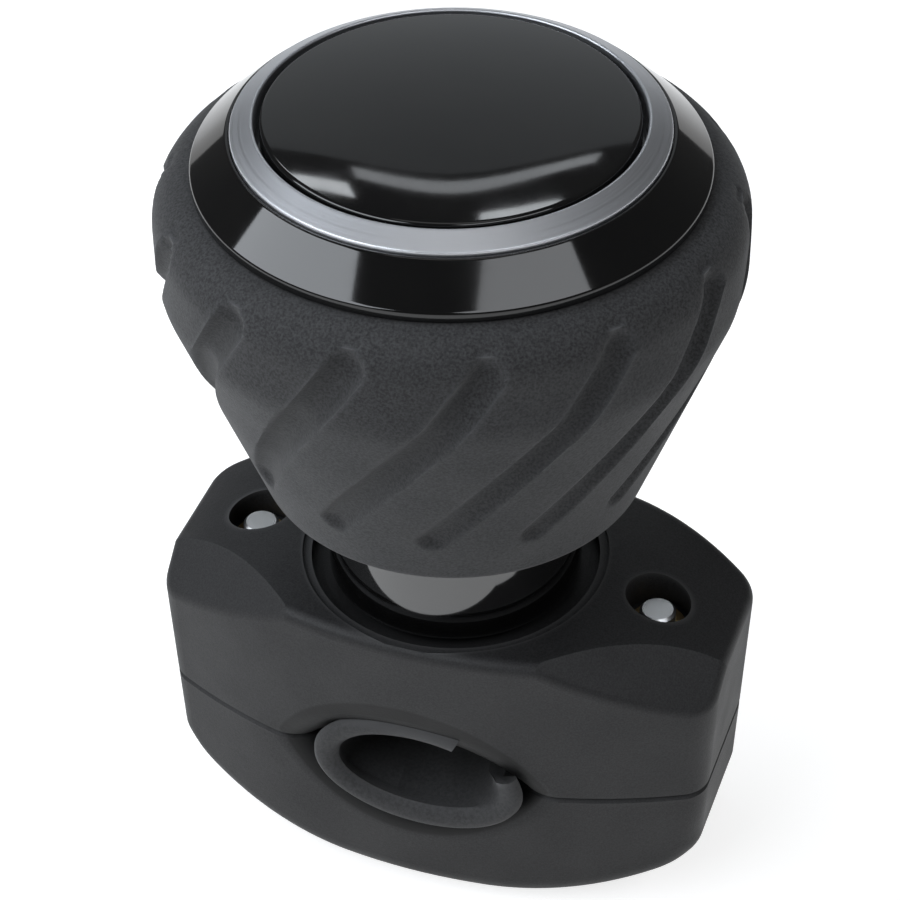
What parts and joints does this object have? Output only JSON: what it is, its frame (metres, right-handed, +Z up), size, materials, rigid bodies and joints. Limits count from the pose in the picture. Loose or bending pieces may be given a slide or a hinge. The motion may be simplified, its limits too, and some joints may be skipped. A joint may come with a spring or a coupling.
{
  "type": "steering wheel spinner knob",
  "caption": "Steering wheel spinner knob: a grooved rubber knob with a gloss cap, spinning on two ball bearings over a two-piece plastic clamp for the wheel rim.",
  "frame": {"origin": "on the clamp's flat resting face, under the spindle's axis", "axes": "+Z up along the knob's spin axis, +X along the clamp's length towards its right-hand screw, +Y along the wheel rim, away from the picture's camera"},
  "size_m": [0.0644, 0.0602, 0.0959],
  "materials": {
    "clamp_plastic": "fine spark-eroded texture, matte black",
    "sleeve_rubber": "smooth matte",
    "grip_rubber": "matte, finely grained",
    "gloss_black": "polished",
    "trim_metal": "satin, turned",
    "zinc_steel": "bright zinc",
    "bearing_steel": "ground",
    "insert_brass": "plain",
    "nylon": "plain",
    "cage_nylon": "plain"
  },
  "bodies": {
    "clamp": {"upper_clamp": "clamp_plastic", "lower_clamp": "clamp_plastic", "rim_sleeve": "sleeve_rubber", "left_clamp_screw": "zinc_steel", "right_clamp_screw": "zinc_steel", "left_screw_washer": "zinc_steel", "right_screw_washer": "zinc_steel", "left_thread_insert": "insert_brass", "right_thread_insert": "insert_brass", "spindle_bolt": "zinc_steel", "base_washer": "zinc_steel", "lower_inner_race": "bearing_steel", "bearing_spacer": "zinc_steel", "upper_inner_race": "bearing_steel", "top_washer": "zinc_steel", "lock_nut": "zinc_steel", "nut_ring": "nylon"},
    "knob": {"hub": "gloss_black", "grip": "grip_rubber", "bezel": "gloss_black", "trim_ring": "trim_metal", "cap": "gloss_black", "lower_outer_race": "bearing_steel", "upper_outer_race": "bearing_steel"},
    "lower_balls": {"lower_ball_cage": "cage_nylon", "lower_ball_1": "bearing_steel", "lower_ball_2": "bearing_steel", "lower_ball_3": "bearing_steel", "lower_ball_4": "bearing_steel", "lower_ball_5": "bearing_steel", "lower_ball_6": "bearing_steel", "lower_ball_7": "bearing_steel"},
    "upper_balls": {"upper_ball_cage": "cage_nylon", "upper_ball_1": "bearing_steel", "upper_ball_2": "bearing_steel", "upper_ball_3": "bearing_steel", "upper_ball_4": "bearing_steel", "upper_ball_5": "bearing_steel", "upper_ball_6": "bearing_steel", "upper_ball_7": "bearing_steel"}
  },
  "joints": [
    {"name": "knob_spin", "type": "hinge", "parent": "clamp", "child": "knob", "pos_m": [0, 0, 0.0624], "axis": [0, 0, 1], "continuous": true},
    {"name": "lower_balls_spin", "type": "hinge", "parent": "clamp", "child": "lower_balls", "pos_m": [0, 0, 0.0417], "axis": [0, 0, 1], "continuous": true},
    {"name": "upper_balls_spin", "type": "hinge", "parent": "clamp", "child": "upper_balls", "pos_m": [0, 0, 0.0735], "axis": [0, 0, 1], "continuous": true}
  ],
  "couplings": [
    {"joint": "lower_balls_spin", "follows": "knob_spin", "ratio": 0.632},
    {"joint": "upper_balls_spin", "follows": "knob_spin", "ratio": 0.632}
  ]
}
